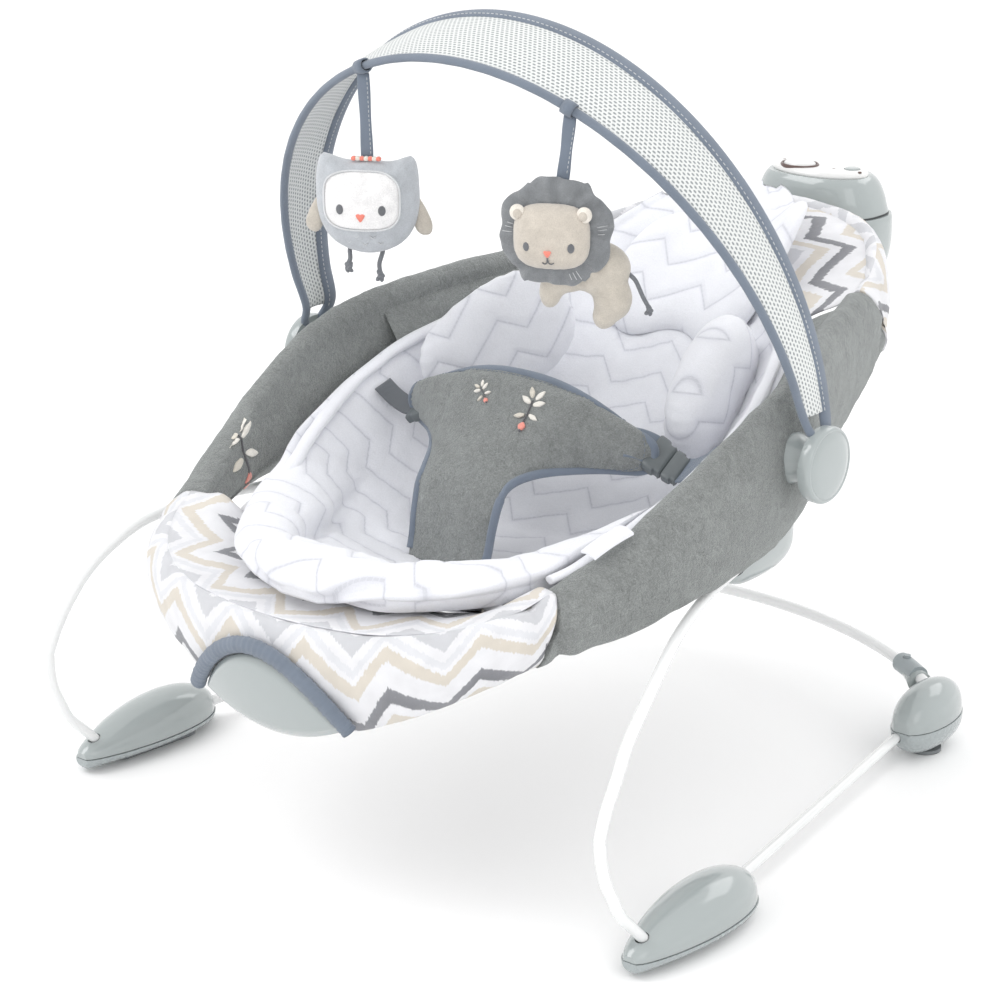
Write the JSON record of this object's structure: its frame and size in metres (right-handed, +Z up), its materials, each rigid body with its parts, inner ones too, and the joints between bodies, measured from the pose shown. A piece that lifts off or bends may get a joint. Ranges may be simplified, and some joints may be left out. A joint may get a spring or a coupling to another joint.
{
  "type": "bouncer seat",
  "caption": "Reclined padded bucket seat bouncing on two bent steel side wires, with a pivoting mesh toy bar, two hanging soft toys and a control unit at the head end.",
  "frame": {"origin": "on the floor, under the middle of the object's box", "axes": "+Z up, -Y towards the foot end, +Y towards the head end, X across; the object is mirrored about X = 0 apart from the two toys, the buckles and the tag"},
  "size_m": [0.5756, 0.7478, 0.5896],
  "materials": {
    "white_wire": "gloss",
    "pod_plastic": "gloss",
    "socket_plastic": "satin",
    "rubber": "matte",
    "steel": "satin",
    "plush": "plush",
    "print_fabric": "printed weave",
    "quilted_white": "quilted",
    "slate_webbing": "webbing",
    "buckle_plastic": "satin",
    "panel_white": "gloss",
    "mesh_fabric": "open mesh",
    "toy_fleece": "fleece"
  },
  "bodies": {
    "base": {"leg_wire_lower_right": "white_wire", "leg_wire_lower_left": "white_wire", "ground_rod_right": "white_wire", "ground_rod_left": "white_wire", "front_pod_upper_right": "pod_plastic", "front_pod_upper_left": "pod_plastic", "front_pod_lower_right": "pod_plastic", "front_pod_lower_left": "pod_plastic", "rear_pod_upper_right": "pod_plastic", "rear_pod_upper_left": "pod_plastic", "rear_pod_lower_right": "pod_plastic", "rear_pod_lower_left": "pod_plastic", "tube_socket_right": "socket_plastic", "tube_socket_left": "socket_plastic", "cross_tube": "white_wire", "floor_pads": "rubber", "pod_screws": "steel"},
    "snap_right": {"snap_button_right": "socket_plastic"},
    "snap_left": {"snap_button_left": "socket_plastic"},
    "seat": {"leg_wire_upper_right": "white_wire", "leg_wire_upper_left": "white_wire", "rim_tube": "steel", "side_housing_right": "pod_plastic", "side_housing_left": "pod_plastic", "toy_bar_mount_right": "socket_plastic", "toy_bar_mount_left": "socket_plastic", "bolster_right": "plush", "bolster_left": "plush", "foot_panel": "print_fabric", "head_panel": "print_fabric", "seat_sling": "print_fabric", "insert_pad": "quilted_white", "support_wing_right": "quilted_white", "support_wing_left": "quilted_white", "head_support": "quilted_white", "harness_panel": "plush", "harness_strap_right": "slate_webbing", "harness_strap_left": "slate_webbing", "buckle_socket_right": "buckle_plastic", "buckle_plug_right": "buckle_plastic", "buckle_left": "buckle_plastic", "rim_tag": "quilted_white", "front_plate": "pod_plastic", "front_trim": "slate_webbing", "unit_lower_shell": "pod_plastic", "unit_upper_shell": "pod_plastic", "control_panel": "panel_white", "vibration_motor": "steel", "battery_cells": "steel", "unit_bracket": "socket_plastic"},
    "battery_door": {"battery_door": "pod_plastic"},
    "main_button": {"main_button": "panel_white"},
    "mode_button": {"mode_button": "panel_white"},
    "toy_bar": {"toy_bar_hub_right": "pod_plastic", "toy_bar_hub_left": "pod_plastic", "front_bow": "slate_webbing", "rear_bow": "slate_webbing", "mesh_band": "mesh_fabric"},
    "owl": {"owl_toy": "toy_fleece"},
    "lion": {"lion_toy": "toy_fleece"}
  },
  "joints": [
    {"name": "seat_bounce", "type": "hinge", "parent": "base", "child": "seat", "pos_m": [0, -0.3212, 0.11], "axis": [1, 0, 0], "range_deg": [-4, 2], "stiffness_Nm_per_rad": 400, "springref_deg": 1.15},
    {"name": "toy_bar_pivot", "type": "hinge", "parent": "seat", "child": "toy_bar", "pos_m": [0.243, -0.04, 0.29], "axis": [1, 0, 0], "range_deg": [-60, 15]},
    {"name": "owl_swing", "type": "hinge", "parent": "toy_bar", "child": "owl", "pos_m": [-0.079, -0.1558, 0.5444], "axis": [1, 0, 0], "range_deg": [-30, 30]},
    {"name": "lion_swing", "type": "hinge", "parent": "toy_bar", "child": "lion", "pos_m": [0.107, -0.1502, 0.531], "axis": [1, 0, 0], "range_deg": [-30, 30]},
    {"name": "main_button_press", "type": "slide", "parent": "seat", "child": "main_button", "axis": [0, 0, -1], "range_m": [0, 0.002], "stiffness_N_per_m": 300},
    {"name": "mode_button_press", "type": "slide", "parent": "seat", "child": "mode_button", "axis": [0, 0, -1], "range_m": [0, 0.0012], "stiffness_N_per_m": 250},
    {"name": "battery_door_slide", "type": "slide", "parent": "seat", "child": "battery_door", "axis": [0, 0, -1], "range_m": [0, 0.02]},
    {"name": "snap_right_press", "type": "slide", "parent": "base", "child": "snap_right", "axis": [0, 0, -1], "range_m": [0, 0.002], "stiffness_N_per_m": 300},
    {"name": "snap_left_press", "type": "slide", "parent": "base", "child": "snap_left", "axis": [0, 0, -1], "range_m": [0, 0.002], "stiffness_N_per_m": 300}
  ]
}
